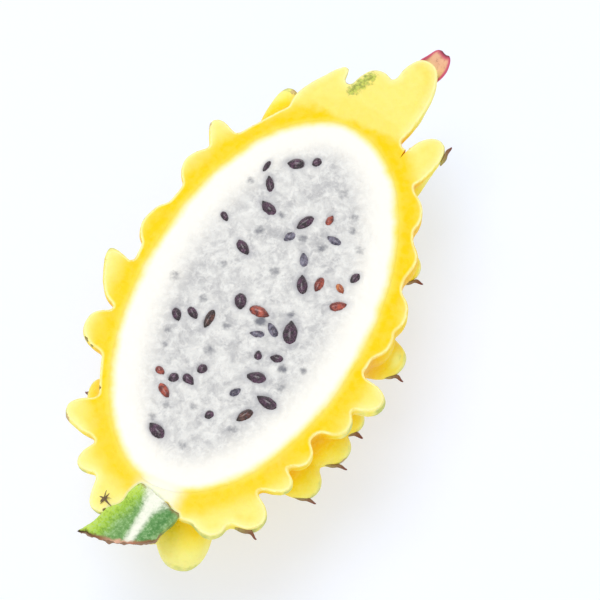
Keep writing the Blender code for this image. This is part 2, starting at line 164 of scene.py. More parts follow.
# ---- small tools ----------------------------------------------------------------
def at(x, y, z=0.0):
    """A place on the fruit, in metres."""
    return HEART + Vector((x, y, z)) * MM


def fresh():
    """Nothing selected, nothing in edit mode."""
    if bpy.context.object and bpy.context.object.mode != 'OBJECT':
        bpy.ops.object.mode_set(mode='OBJECT')
    bpy.ops.object.select_all(action='DESELECT')


def only(obj):
    fresh()
    obj.select_set(True)
    bpy.context.view_layer.objects.active = obj


def named(name):
    """The primitive that was just added, under its own name."""
    made = bpy.context.object
    made.name = made.data.name = name
    return made


def finish_with(obj, kind, **settings):
    """Add a modifier and apply it."""
    only(obj)
    modifier = obj.modifiers.new(kind.lower(), kind)
    for key, value in settings.items():
        setattr(modifier, key, value)
    bpy.ops.object.modifier_apply(modifier=modifier.name)


def settle(obj):
    """Put the object's place, turn and size into its mesh."""
    only(obj)
    bpy.ops.object.transform_apply(location=True, rotation=True, scale=True)


def edit(obj):
    """Open one piece for editing, with all of it selected."""
    only(obj)
    bpy.ops.object.mode_set(mode='EDIT')
    bpy.ops.mesh.select_all(action='SELECT')


def join(pieces, into):
    fresh()
    for piece in pieces:
        piece.select_set(True)
    bpy.context.view_layer.objects.active = into
    bpy.ops.object.join()


def cut_off(obj, point, facing):
    """Slice the whole piece with a plane and take away what is in front of it."""
    edit(obj)
    bpy.ops.mesh.bisect(plane_co=point, plane_no=facing, use_fill=True, clear_outer=True)
    bpy.ops.object.mode_set(mode='OBJECT')


def corners_of(obj):
    """Vertices in the mesh's own units, as the primitive was made."""
    co = np.empty(len(obj.data.vertices) * 3, np.float32)
    obj.data.vertices.foreach_get("co", co)
    return co.reshape(-1, 3)


def points_of(obj):
    """Vertices in millimetres, counted from the heart of the cut face."""
    return (corners_of(obj) - np.array(HEART)) / MM


def set_points(obj, points):
    co = np.asarray(points) * MM + np.array(HEART)
    obj.data.vertices.foreach_set("co", co.astype(np.float32).ravel())
    obj.data.update()


def normals_of(obj):
    out = np.empty(len(obj.data.vertices) * 3, np.float32)
    obj.data.vertices.foreach_get("normal", out)
    return out.reshape(-1, 3)


def paint(obj, name, values):
    """Keep a number for each vertex, for the materials to read."""
    layer = obj.data.attributes.new(name, 'FLOAT', 'POINT')
    layer.data.foreach_set("value", np.asarray(values, np.float32))


def smooth(x, low, high):
    t = np.clip((np.asarray(x, float) - low) / (high - low), 0, 1)
    return t * t * (3 - 2 * t)


def rough(points, size, seed=0.0):
    """Soft noise from -1 to 1, with bumps about `size` millimetres apart."""
    shift = Vector((seed * 17.3, seed * 5.1, seed * 9.7))
    return np.array([noise.noise(Vector(p) / size + shift) for p in points])


def relax(obj, values, rounds):
    """Spread numbers over neighbouring vertices."""
    edges = np.empty(len(obj.data.edges) * 2, np.int32)
    obj.data.edges.foreach_get("vertices", edges)
    a, b = edges.reshape(-1, 2).T
    values = np.asarray(values, float)
    count = np.bincount(a, minlength=len(values)) + np.bincount(b, minlength=len(values))
    for _ in range(rounds):
        total = (np.bincount(a, values[b], len(values)) + np.bincount(b, values[a], len(values)))
        values = 0.5 * values + 0.5 * total / np.maximum(count, 1)
    return values


def tree_of(points):
    """The points in a tree that finds the nearest of them."""
    tree = kdtree.KDTree(len(points))
    for i, point in enumerate(points):
        tree.insert(point, i)
    tree.balance()
    return tree


# the flesh's outline on the cut face, a point every quarter of a degree
outline = tree_of([(FLESH_LONG * math.cos(turn), FLESH_WIDE * math.sin(turn), 0)
                   for turn in (math.radians(step / 4) for step in range(1440))])


def from_flesh(x, y):
    """Distance outward from the flesh's outline on the cut face, in millimetres."""
    far = np.array([outline.find((px, py, 0))[2] for px, py in zip(x, y)])
    return np.where((x / FLESH_LONG) ** 2 + (y / FLESH_WIDE) ** 2 > 1, far, -far)


def stem_core(x, y):
    """Where the stem's white core runs through the peel into the flesh."""
    return smooth(x, -39.5, -46.0) * smooth(np.abs(y + 0.6), 7.4, 0.8)


# ---- colours and shaders ----------------------------------------------------------
def tone(red, green, blue):
    """A screen colour, 0 to 255, as the shader's linear colour."""
    return tuple((c / 255 / 12.92) if c <= 10 else ((c / 255 + 0.055) / 1.055) ** 2.4
                 for c in (red, green, blue)) + (1.0,)


class Wiring:
    """Places and joins nodes in one material or group."""

    def __init__(self, tree):
        self.tree = tree

    def add(self, kind, inputs=None, **settings):
        made = self.tree.nodes.new("ShaderNode" + kind)
        for key, value in settings.items():
            setattr(made, key, value)
        for key, value in (inputs or {}).items():
            self.feed(made.inputs[key], value)
        return made

    def feed(self, socket, value):
        """Link a socket to another one, or set its own value."""
        if isinstance(value, bpy.types.NodeSocket):
            self.tree.links.new(value, socket)
        else:
            socket.default_value = value

    def read(self, name):
        return self.add("Attribute", attribute_name=name).outputs["Fac"]

    def here(self):
        return self.add("TexCoord").outputs["Object"]

    def calc(self, operation, a, b):
        return self.add("Math", {0: a, 1: b}, operation=operation).outputs[0]

    def shaken(self, value, cloud, amount):
        """A value moved up and down by noise."""
        return self.calc('ADD', value, self.calc('MULTIPLY', self.calc('SUBTRACT', cloud, 0.5),
                                                 amount))

    def mix(self, factor, a, b):
        return self.add("Mix", {0: factor, 6: a, 7: b}, data_type='RGBA',
                        clamp_factor=True).outputs[2]

    def fade(self, value, low, high, start=0.0, end=1.0):
        return self.add("MapRange", {0: value, 1: low, 2: high, 3: start, 4: end},
                        interpolation_type='SMOOTHSTEP').outputs[0]

    def noise(self, size, detail=3.0, roughness=0.55, twist=0.0):
        """Cloudy noise with features about `size` millimetres across."""
        return self.add("TexNoise", {"Vector": self.here(), "Scale": 1 / (size * MM),
                                     "Detail": detail, "Roughness": roughness,
                                     "Distortion": twist}).outputs["Fac"]

    def ramp(self, factor, stops):
        made = self.add("ValToRGB", {0: factor})
        band = made.color_ramp.elements
        while len(band) < len(stops):
            band.new(0.5)
        for element, (place, colour) in zip(band, stops):
            element.position = place
            element.color = colour
        return made.outputs[0]

    def bump(self, height, depth, strength):
        return self.add("Bump", {"Height": height, "Distance": depth * MM,
                                 "Strength": strength}).outputs["Normal"]

    def group(self, tree, **inputs):
        made = self.tree.nodes.new("ShaderNodeGroup")
        made.node_tree = tree
        for key, value in inputs.items():
            self.feed(made.inputs[key.replace("_", " ")], value)
        return made.outputs


def finish(name, preview, build, **constants):
    """A material: `build` wires it, `constants` are set on the shader itself."""
    made = bpy.data.materials.new(name)
    made.use_nodes = True
    made.diffuse_color = preview
    made.node_tree.nodes.clear()
    w = Wiring(made.node_tree)
    shader = w.add("BsdfPrincipled")
    for key, value in constants.items():
        shader.inputs[key.replace("_", " ")].default_value = value
    w.tree.links.new(shader.outputs[0], w.add("OutputMaterial").inputs[0])
    for key, value in build(w).items():
        w.feed(shader.inputs[key.replace("_", " ")], value)
    return made


def new_group(name, inputs, outputs):
    tree = bpy.data.node_groups.new(name, 'ShaderNodeTree')
    for label, kind, value in inputs:
        socket = tree.interface.new_socket(label, in_out='INPUT', socket_type='NodeSocket' + kind)
        socket.default_value = value
    for label, kind in outputs:
        tree.interface.new_socket(label, in_out='OUTPUT', socket_type='NodeSocket' + kind)
    w = Wiring(tree)
    source = tree.nodes.new("NodeGroupInput").outputs
    target = tree.nodes.new("NodeGroupOutput").inputs
    return tree, w, source, target


def make_flesh_edge():
    """Milk white that turns into wet yellow where the flesh meets the peel."""
    tree, w, source, target = new_group(
        "flesh_edge",
        [("From Flesh", 'Float', 0.0), ("White", 'Color', tone(246, 244, 235)),
         ("Yellow", 'Color', tone(250, 211, 2))],
        [("Colour", 'Color')])
    place = w.shaken(source["From Flesh"], w.noise(5.0, 3), 1.8)
    halfway = w.mix(w.fade(place, -2.0, 0.2), source["White"], tone(252, 230, 100))
    w.tree.links.new(w.mix(w.fade(place, -0.9, 1.3), halfway, source["Yellow"]), target["Colour"])
    return tree


def make_wet_grain():
    """Fine cell structure of cut fruit: a mask for colour and a height for relief."""
    tree, w, source, target = new_group(
        "wet_grain", [("Size", 'Float', 1.0)], [("Mask", 'Float'), ("Height", 'Float')])
    scale = w.calc('DIVIDE', 1 / MM, source["Size"])
    where = w.here()
    cells = w.add("TexVoronoi", {"Vector": where, "Scale": scale}, feature='SMOOTH_F1')
    clouds = w.add("TexNoise", {"Vector": where, "Scale": scale, "Detail": 4.0, "Roughness": 0.6})
    mask = w.calc('MULTIPLY', cells.outputs["Distance"], clouds.outputs["Fac"])
    w.tree.links.new(w.fade(mask, 0.1, 0.45), target["Mask"])
    w.tree.links.new(w.calc('ADD', clouds.outputs["Fac"],
                            w.calc('MULTIPLY', cells.outputs["Distance"], -0.5)), target["Height"])
    return tree


FLESH_EDGE = make_flesh_edge()
WET_GRAIN = make_wet_grain()


def peel_cut(w):
    gap, edge = w.read("from_flesh"), w.read("to_skin")
    grain = w.group(WET_GRAIN, Size=1.4)
    soft = w.noise(7.0, 3)
    # the lobes pale outward; the valleys between them stay deep yellow
    outer = w.fade(w.shaken(gap, soft, 5.0), 2.2, 6.6)
    flower_end = w.fade(w.shaken(w.read("top"), w.noise(2.6, 4), 0.9), 0.2, 0.8, 0.0, 0.8)
    pale = w.calc('MAXIMUM', outer, flower_end)
    yellow = w.mix(pale, tone(250, 211, 2), tone(250, 232, 122))
    yellow = w.mix(w.calc('MULTIPLY', w.fade(soft, 0.5, 0.72), 0.4), yellow, tone(250, 204, 0))
    yellow = w.mix(w.calc('MULTIPLY', grain["Mask"], 0.12), yellow, tone(250, 238, 150))
    yellow = w.mix(w.calc('MULTIPLY', w.fade(edge, 2.2, 0.2), w.fade(gap, 3.5, 7.0, 0.0, 0.5)),
                   yellow, tone(253, 245, 176))
    # the skin shows as a thin cream line round the cut, partly its own pale edge and partly a painted
    # highlight on the rounded edge
    line = w.calc('MULTIPLY', w.fade(edge, 0.75, 0.15), w.fade(soft, 0.25, 0.5, 0.55, 1.0))
    yellow = w.mix(line, yellow, tone(255, 246, 176))
    # a green bruise, streaked along the fruit, and brown flecks at the skin
    streak = w.noise(0.8, 4, 0.7)
    bruise = w.fade(w.shaken(w.read("bruise"), streak, 2.0), 0.35, 1.1)
    yellow = w.mix(w.calc('MULTIPLY', bruise, 0.8), yellow,
                   w.mix(w.fade(w.noise(0.6, 2), 0.4, 0.6), tone(176, 196, 84), tone(112, 138, 58)))
    fleck = w.shaken(w.read("speck"), streak, 1.2)
    yellow = w.mix(w.calc('MULTIPLY', w.fade(fleck, 0.55, 0.75), w.fade(edge, 1.0, 0.3)), yellow,
                   tone(112, 84, 40))
    # the core that runs into the stem has no yellow in it
    colour = w.group(FLESH_EDGE, From_Flesh=gap, Yellow=yellow)["Colour"]
    core = w.fade(w.shaken(w.read("core"), soft, 0.7), 0.05, 1.0)
    colour = w.mix(core, colour, tone(248, 247, 218))
    height = w.calc('ADD', grain["Height"], w.calc('MULTIPLY', w.noise(3.2, 2), 1.4))
    return {"Base_Color": colour, "Normal": w.bump(height, 0.16, 0.55),
            "Roughness": w.fade(grain["Mask"], 0.0, 1.0, 0.26, 0.42)}


def peel_skin(w):
    high, crease_shade, tip = w.read("height"), w.read("crease_shade"), w.read("tip")
    patch, fine = w.noise(6.0, 4), w.noise(0.9, 3)
    # painted shade and light: the skin is deep orange low between the knobs and pale yellow high on them
    colour = w.ramp(w.calc('DIVIDE', w.calc('ADD', high, w.calc('MULTIPLY', patch, 3.0)), 14.0), [
        (0.0, tone(242, 170, 0)), (0.16, tone(255, 200, 0)), (0.36, tone(255, 222, 2)),
        (0.7, tone(255, 232, 30)), (1.0, tone(255, 238, 80))])
    # painted shade: the skin darkens to deep orange in the creases
    colour = w.mix(w.fade(crease_shade, 0.25, 1.0), colour, tone(238, 158, 2))
    # tips ripen last: pale, partly their own colour and partly painted bounce light that brightens them;
    # then green toward the scar of the bract
    pale = w.fade(w.calc('ADD', w.calc('MAXIMUM', tip, w.calc('DIVIDE', high, 11.0)),
                         w.calc('MULTIPLY', patch, 0.6)), 0.5, 1.3)
    colour = w.mix(pale, colour, tone(255, 246, 140))
    green = w.fade(w.shaken(tip, w.noise(2.6, 4), 1.1), 0.62, 1.05)
    colour = w.mix(w.calc('MULTIPLY', green, 0.75), colour, tone(176, 190, 92))
    # a cream band on the skin just below the cut: partly the skin's pale edge, partly a painted
    # highlight on the rounded edge
    rim = w.read("to_skin")
    colour = w.mix(w.fade(rim, 0.9, 0.1, 0.0, 0.7), colour, tone(255, 244, 170))
    # dry pinkish scars and a few dark specks
    scar = w.fade(w.shaken(w.read("scar"), w.noise(1.3, 5, 0.7), 2.2), 0.5, 0.85)
    colour = w.mix(w.calc('MULTIPLY', scar, 0.75), colour,
                   w.mix(w.fade(fine, 0.4, 0.6), tone(206, 172, 138), tone(150, 108, 88)))
    speck = w.fade(w.shaken(w.read("speck"), w.noise(0.9, 4, 0.7), 1.6), 0.5, 0.68)
    colour = w.mix(w.calc('MULTIPLY', speck, 0.9), colour, tone(84, 66, 36))
    colour = w.mix(w.calc('MULTIPLY', w.fade(fine, 0.45, 0.7), 0.18), colour, tone(255, 236, 120))
    pores = w.add("TexVoronoi", {"Vector": w.here(), "Scale": 1 / (0.9 * MM)})
    height = w.calc('ADD', w.fade(pores.outputs["Distance"], 0.0, 0.45),
                    w.calc('MULTIPLY', w.noise(2.2, 4), 2.2))
    height = w.calc('SUBTRACT', height, w.calc('MULTIPLY', scar, 0.8))
    return {"Base_Color": colour, "Normal": w.bump(height, 0.14, 0.5),
            "Roughness": w.fade(scar, 0.0, 1.0, 0.46, 0.8)}


def peel_pith(w):
    colour = w.mix(w.noise(2.0, 4), tone(255, 246, 196), tone(255, 232, 110))
    return {"Base_Color": colour, "Normal": w.bump(w.noise(0.8, 4), 0.2, 0.6)}


def pulp_look(w):
    gap, smudge, seed_shade_halo = w.read("from_flesh"), w.read("smudge"), w.read("seed_shade_halo")
    grain = w.group(WET_GRAIN, Size=0.9)
    cloud = w.noise(4.0, 5, 0.62, twist=0.6)
    thread = w.noise(1.5, 5, 0.68, twist=0.5)
    inside = w.fade(w.shaken(gap, cloud, 6.0), -3.6, -10.5)
    pulp = w.mix(w.fade(cloud, 0.35, 0.7), tone(224, 224, 222), tone(184, 184, 186))
    pulp = w.mix(w.calc('MULTIPLY', w.fade(thread, 0.42, 0.68), 0.65), pulp, tone(242, 242, 239))
    pulp = w.mix(w.calc('MULTIPLY', w.fade(w.noise(0.7, 4), 0.55, 0.75), 0.3), pulp,
                 tone(172, 173, 177))
    colour = w.mix(inside, tone(247, 245, 238), pulp)
    # painted shade: grey halos round the seeds
    colour = w.mix(w.calc('MULTIPLY', seed_shade_halo, 0.5), colour, tone(170, 170, 178))
    veil = w.fade(w.shaken(smudge, w.noise(0.9, 4), 0.8), 0.1, 0.8)
    colour = w.mix(w.calc('MULTIPLY', veil, 0.85), colour, tone(92, 94, 108))
    core = w.fade(w.read("core"), 0.1, 0.9)
    cream = tone(250, 248, 230)
    colour = w.group(FLESH_EDGE, From_Flesh=gap, White=colour,
                     Yellow=w.mix(core, tone(250, 211, 2), cream))["Colour"]
    colour = w.mix(w.calc('MULTIPLY', core, w.fade(gap, -3.0, -1.0)), colour, cream)
    height = w.calc('ADD', w.calc('MULTIPLY', thread, 1.3), grain["Height"])
    height = w.calc('MULTIPLY', height, w.calc('ADD', w.calc('MULTIPLY', inside, 0.8), 0.2))
    return {"Base_Color": colour, "Normal": w.bump(height, 0.22, 0.6),
            "Roughness": w.fade(thread, 0.3, 0.7, 0.24, 0.42)}


def seed_look(dark, light, share):
    def build(w):
        speckle = w.noise(0.35, 3, 0.7)
        band = w.noise(1.1, 2)
        colour = w.mix(w.fade(band, 0.35, 0.7), dark, light)
        colour = w.mix(w.calc('MULTIPLY', w.fade(speckle, 0.52, 0.7), share), colour,
                       tone(160, 128, 146))
        colour = w.mix(w.read("tail"), colour, dark)
        return {"Base_Color": colour, "Normal": w.bump(w.noise(0.22, 3), 0.05, 0.6),
                "Roughness": w.fade(speckle, 0.4, 0.7, 0.22, 0.4)}
    return build


def bract_look(base, middle, end, edge=None):
    def build(w):
        along = w.read("along")
        vein = w.noise(0.5, 3, 0.6)
        if edge:
            colour = w.mix(w.fade(along, 0.3, 0.75), base, middle)
            colour = w.mix(w.calc('MULTIPLY', w.fade(vein, 0.55, 0.7), 0.3), colour, end)
            colour = w.mix(w.fade(w.read("rim"), 0.3, 0.85), colour, edge)
            colour = w.mix(w.fade(along, 0.90, 0.99), colour, end)
        else:
            colour = w.ramp(w.shaken(along, vein, 0.4),
                            [(0.0, base), (0.45, middle), (0.9, end), (1.0, end)])
            colour = w.mix(w.calc('MULTIPLY', w.fade(vein, 0.5, 0.7), 0.35), colour, end)
        return {"Base_Color": colour, "Normal": w.bump(vein, 0.12, 0.8),
                "Roughness": w.fade(vein, 0.3, 0.7, 0.55, 0.8)}
    return build


def stem_cut(w):
    aside, core, end = w.read("aside"), w.read("core"), w.read("end")
    fleck = w.noise(0.7, 4, 0.7)
    cloud = w.noise(2.4, 3)
    place = w.shaken(aside, cloud, 0.35)
    colour = w.ramp(w.calc('MULTIPLY', w.calc('ADD', place, 1.0), 0.5), [
        (0.0, tone(132, 170, 104)), (0.16, tone(84, 138, 72)), (0.36, tone(112, 160, 96)),
        (0.66, tone(120, 164, 92)), (0.84, tone(158, 198, 60)), (1.0, tone(196, 224, 84))])
    colour = w.mix(w.calc('MULTIPLY', w.fade(fleck, 0.48, 0.68), 0.6), colour, tone(170, 204, 150))
    colour = w.mix(w.calc('MULTIPLY', w.fade(fleck, 0.5, 0.36), 0.45), colour, tone(62, 112, 52))
    core = w.fade(w.shaken(core, fleck, 0.9), 0.1, 1.1)
    colour = w.mix(core, colour, tone(244, 246, 230))
    rim = w.fade(w.shaken(end, w.noise(1.2, 4), 1.4), 0.95, 0.3)
    brown = w.ramp(w.calc('MULTIPLY', w.calc('ADD', aside, 1.0), 0.5), [
        (0.0, tone(92, 84, 46)), (0.3, tone(176, 118, 92)), (0.5, tone(222, 176, 150)),
        (0.7, tone(150, 104, 74)), (0.92, tone(84, 62, 36)), (1.0, tone(70, 50, 30))])
    colour = w.mix(rim, colour, brown)
    skin = w.read("to_skin")
    line = w.calc('MULTIPLY', w.fade(skin, 0.40, 0.12, 0.0, 0.75), w.fade(w.read("ahead"), 1.5, 3.0))
    colour = w.mix(line, colour, tone(232, 232, 176))
    root = w.shaken(w.read("ahead"), fleck, 2.0)
    root = w.calc('MULTIPLY', w.fade(root, 0.9, 0.1), w.calc('SUBTRACT', 1.0, core))
    colour = w.mix(w.calc('MULTIPLY', root, 0.7), colour, tone(150, 110, 62))
    return {"Base_Color": colour, "Normal": w.bump(fleck, 0.2, 0.7),
            "Roughness": w.fade(fleck, 0.3, 0.7, 0.35, 0.55)}


def stem_bark(w):
    end, cloud = w.read("end"), w.noise(1.6, 4)
    ribs = w.add("TexWave", {"Vector": w.here(), "Scale": 260.0, "Distortion": 3.0,
                             "Detail": 2.0}, bands_direction='Y').outputs["Fac"]
    colour = w.mix(w.fade(cloud, 0.35, 0.7), tone(112, 150, 58), tone(172, 190, 92))
    colour = w.mix(w.calc('MULTIPLY', ribs, 0.3), colour, tone(84, 116, 46))
    dry = w.fade(w.shaken(end, cloud, 3.0), 2.2, 0.3)
    colour = w.mix(dry, colour, tone(150, 112, 78))
    return {"Base_Color": colour, "Normal": w.bump(w.calc('ADD', ribs, cloud), 0.25, 0.6)}


def table_look(w):
    cloud = w.noise(160.0, 2)
    colour = w.mix(cloud, tone(174, 183, 202), tone(180, 188, 206))
    return {"Base_Color": colour, "Emission_Color": w.mix(cloud, tone(252, 253, 255),
                                                          tone(253, 253, 255))}


WET = {"Coat_Weight": 0.03, "Coat_Roughness": 0.2, "Specular_IOR_Level": 0.14}
LOOKS = {
    "peel_cut": finish("wet_yellow_cut", tone(255, 222, 20), peel_cut, Subsurface_Weight=0.3,
                       Subsurface_Radius=(1.0, 0.75, 0.2), Subsurface_Scale=0.0008, **WET),
    "peel_skin": finish("waxy_yellow_skin", tone(250, 205, 20), peel_skin, Subsurface_Weight=0.2,
                        Subsurface_Radius=(1.0, 0.7, 0.15), Subsurface_Scale=0.0008,
                        Specular_IOR_Level=0.18),
    "peel_pith": finish("inner_pith", tone(255, 240, 160), peel_pith, Roughness=0.6),
    "pulp": finish("white_pulp", tone(240, 240, 238), pulp_look, Subsurface_Weight=0.35,
                   Subsurface_Radius=(1.0, 0.95, 0.9), Subsurface_Scale=0.0009, **WET),
    "d": finish("seed_black_purple", tone(30, 18, 26), seed_look(
        tone(24, 8, 22), tone(76, 40, 70), 0.5), Coat_Weight=0.5, Coat_Roughness=0.12),
    "r": finish("seed_brick_red", tone(140, 60, 44), seed_look(
        tone(92, 24, 18), tone(186, 84, 60), 0.35), Coat_Weight=0.5, Coat_Roughness=0.12),
    "o": finish("seed_orange", tone(200, 120, 60), seed_look(
        tone(150, 66, 26), tone(214, 130, 66), 0.3), Coat_Weight=0.5, Coat_Roughness=0.12),
    "b": finish("seed_dark_brown", tone(60, 34, 28), seed_look(
        tone(34, 16, 14), tone(96, 52, 38), 0.4), Coat_Weight=0.5, Coat_Roughness=0.12),
    "v": finish("seed_veiled", tone(90, 88, 104), seed_look(
        tone(58, 54, 70), tone(132, 130, 148), 0.5), Coat_Weight=0.2, Coat_Roughness=0.2),
    "bract": finish("dry_bract", tone(140, 90, 60), bract_look(
        tone(176, 166, 84), tone(146, 116, 66), tone(122, 62, 48)), Roughness=0.7),
    "bract_pink": finish("pink_bract", tone(210, 100, 120), bract_look(
        tone(240, 214, 140), tone(240, 190, 156), tone(116, 44, 48), tone(204, 84, 112)),
                         Roughness=0.6),
    "spine": finish("black_spine", tone(60, 56, 52), bract_look(
        tone(72, 58, 46), tone(84, 68, 52), tone(112, 92, 64)), Roughness=0.8),
    "stem_cut": finish("stem_cut_green", tone(120, 165, 90), stem_cut, **WET),
    "stem_bark": finish("stem_skin_green", tone(130, 160, 70), stem_bark, Roughness=0.6),
    "table": finish("pale_table", tone(245, 245, 245), table_look, Roughness=0.6,
                    Specular_IOR_Level=0.1, Emission_Strength=0.49),
}

# ---- camera, light, table ------------------------------------------------------
eye = bpy.data.cameras.new("camera")
eye.lens = 180
eye.sensor_width = 36
eye.clip_start = 0.01
camera = bpy.data.objects.new("camera", eye)
bpy.context.scene.collection.objects.link(camera)
camera.location = at(*CAMERA_AT)
camera.rotation_euler = (at(*CAMERA_AIM) - at(*CAMERA_AT)).to_track_quat('-Z', 'Y').to_euler()
bpy.context.scene.camera = camera

bpy.context.scene.view_settings.view_transform = 'Standard'
world = bpy.data.worlds.new("white_room")
bpy.context.scene.world = world
world.use_nodes = True
world.node_tree.nodes["Background"].inputs["Color"].default_value = (1.0, 1.0, 1.0, 1.0)
world.node_tree.nodes["Background"].inputs["Strength"].default_value = ROOM_BRIGHTNESS


def soft_light(name, place, size, power):
    lamp = bpy.data.lights.new(name, 'AREA')
    lamp.shape = 'DISK'
    lamp.size = size
    lamp.energy = power
    obj = bpy.data.objects.new(name, lamp)
    bpy.context.scene.collection.objects.link(obj)
    obj.location = at(*place)
    obj.rotation_euler = (HEART - obj.location).to_track_quat('-Z', 'Y').to_euler()


soft_light("key", (90, 240, 900), 0.6, 3.2)
soft_light("fill", (-700, -300, 500), 0.7, 0.7)

fresh()
bpy.ops.mesh.primitive_circle_add(vertices=96, radius=DISC_RADIUS, fill_type='NGON',
                                  location=(0, 0, 0))
table = named("table")
edit(table)
bpy.ops.mesh.inset(thickness=DISC_RIM)
bpy.ops.mesh.select_all(action='SELECT')
bpy.ops.transform.resize(value=(DISC_GROWTH, DISC_GROWTH, 1))
bpy.ops.object.mode_set(mode='OBJECT')
settle(table)
table.data.materials.append(LOOKS["table"])


# ---- knobs --------------------------------------------------------------------
def knob_axis(along, around, lean):
    """Where a knob leaves the body, and the way it points."""
    ring, turn, slant = math.sqrt(1 - along * along), math.radians(around), math.radians(lean)
    point = Vector((BODY_X + along * BODY_HALF[0], ring * BODY_HALF[1] * math.cos(turn),
                    ring * BODY_HALF[2] * math.sin(turn)))
    out = Vector((0, math.cos(turn), math.sin(turn)))
    return point, out * math.cos(slant) + Vector((math.sin(slant), 0, 0))


all_knobs = list(KNOBS)
for around, first, last, count, reach, lean, bract in ROWS:
    for i in range(count):
        along = first + (last - first) * i / (count - 1)
        point, axis = knob_axis(along, around, lean)
        if REST_AROUND[0] <= around <= REST_AROUND[1] and abs(along) <= REST_ALONG:
            down = (point.z - TABLE_Z + REST_SINK) / -axis.z
        else:
            down = reach
        all_knobs.append((along, around, down, lean, ROW_ROOT, ROW_TIP, ROW_CURL, bract))


def knob(along, around, reach, lean, root, tip, curl):
    """A ball drawn out into a blunt finger that narrows to its tip."""
    bpy.ops.mesh.primitive_uv_sphere_add(segments=26, ring_count=22, radius=1)
    ball = named("knob")
    x, y, z = corners_of(ball).T
    grown = (z + 1) / 2
    wide = (1 - np.abs(z) ** 2.5).clip(0) ** 0.4 / np.maximum(np.sqrt((1 - z * z).clip(0)), 1e-3)
    size = (root + (tip - root) * grown ** 1.2) * wide
    point, axis = knob_axis(along, around, lean)
    turn = np.array(axis.to_track_quat('Z', 'Y').to_matrix())
    local = np.stack([x * size, y * size, -root + (reach + root) * grown], 1)
    place = local @ turn.T + np.array(point)
    place[:, 0] += curl * grown ** 3
    set_points(ball, place)
    return ball


# ---- stem: a stub, cut lengthwise with the fruit ---------------------------------
def along_of(points):
    return (points - np.array(STEM_ROOT)) @ np.array(STEM_AHEAD)


def aside_of(points):
    return (points - np.array(STEM_ROOT)) @ np.array(STEM_ASIDE)


def make_stem():
    fresh()
    long = STEM_LONG * 1.6
    bpy.ops.mesh.primitive_cone_add(
        vertices=60, radius1=STEM_ROOT_R * MM, radius2=STEM_END_R * MM, depth=long * MM,
        location=at(*(STEM_ROOT + STEM_AHEAD * long / 2)),
        rotation=(0, math.radians(-90), STEM_TURN))
    stub = named("stem_stub")
    settle(stub)
    finish_with(stub, 'REMESH', mode='VOXEL', voxel_size=STEM_BLEND * MM)
    points = points_of(stub)
    along, aside = along_of(points), aside_of(points)
    flare = smooth(along, 5.0, STEM_LONG + 1.5)
    side = np.where(aside > 0, 0.10, -0.02) * flare + 0.05 * np.sin(along * 0.9) * (along > 0)
    points += np.outer(aside * side, np.array(STEM_ASIDE))
    out = normals_of(stub)
    points += out * (rough(points, 2.4, 3) * 0.28)[:, None]
    set_points(stub, points)
    cut_off(stub, at(0, 0, 0), (0, 0, 1))
    cut_off(stub, at(*(STEM_ROOT + STEM_AHEAD * STEM_LONG)), STEM_END)
    finish_with(stub, 'REMESH', mode='VOXEL', voxel_size=STEM_FINE * MM)
    finish_with(stub, 'SMOOTH', factor=0.4, iterations=2)
    points = points_of(stub)
    end = (np.array(STEM_ROOT + STEM_AHEAD * STEM_LONG) - points) @ np.array(STEM_END)
    level = points[:, 2] > -0.22
    # the end is torn, not sliced
    torn = smooth(end, 1.0, 0.0) * ~level
    points += np.outer(torn * rough(points, 0.9, 5) * 0.5, np.array(STEM_END))
    ragged = smooth(end, 0.9, 0.0) * level
    points += np.outer(ragged * (rough(points, 1.1, 8) * 0.5 - 0.1), np.array(STEM_END))
    half = (aside_of(points) / 6.0).clip(-1, 1)
    points += np.outer(smooth(end, 4.0, 0.0) * 1.5 * (1 - half ** 2), np.array(STEM_AHEAD))
    points[level, 2] = 0.0
    points[level, 2] += (0.04 + 0.10 * rough(points[level], 0.8, 6)
                         * smooth(end[level], 0.3, 1.2))
    points[:, 2] = np.where(level & (end < 0.9), points[:, 2] + 0.22 * (1 - end.clip(0) / 0.9),
                            points[:, 2])
    set_points(stub, points)
    return stub, level, end


def finish_stem(stub, level, end):
    points = points_of(stub)
    along, aside = along_of(points), aside_of(points)
    half = STEM_ROOT_R + (STEM_END_R - STEM_ROOT_R) * (along / STEM_LONG).clip(0, 1)
    middle = 0.9 - 0.235 * along
    wide = 1.5 - 0.04 * along + 2.2 * smooth(along, 4.5, -1.0)
    core = smooth(np.abs(aside - middle) / wide, 1.7, 0.1)
    paint(stub, "aside", aside / half)
    paint(stub, "core", core)
    paint(stub, "end", end)
    paint(stub, "ahead", along)
    rim = tree_of(points[~level])
    edge = np.array([rim.find(p)[2] if flat else 0.0 for p, flat in zip(points, level)])
    paint(stub, "to_skin", edge)
    stub.data.materials.append(LOOKS["stem_cut"])
    stub.data.materials.append(LOOKS["stem_bark"])
    for face in stub.data.polygons:
        face.material_index = 0 if all(level[v] for v in face.vertices) else 1
    only(stub)
    bpy.ops.object.shade_smooth_by_angle(angle=math.radians(50))
    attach(stub, "root")
    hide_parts("stem")


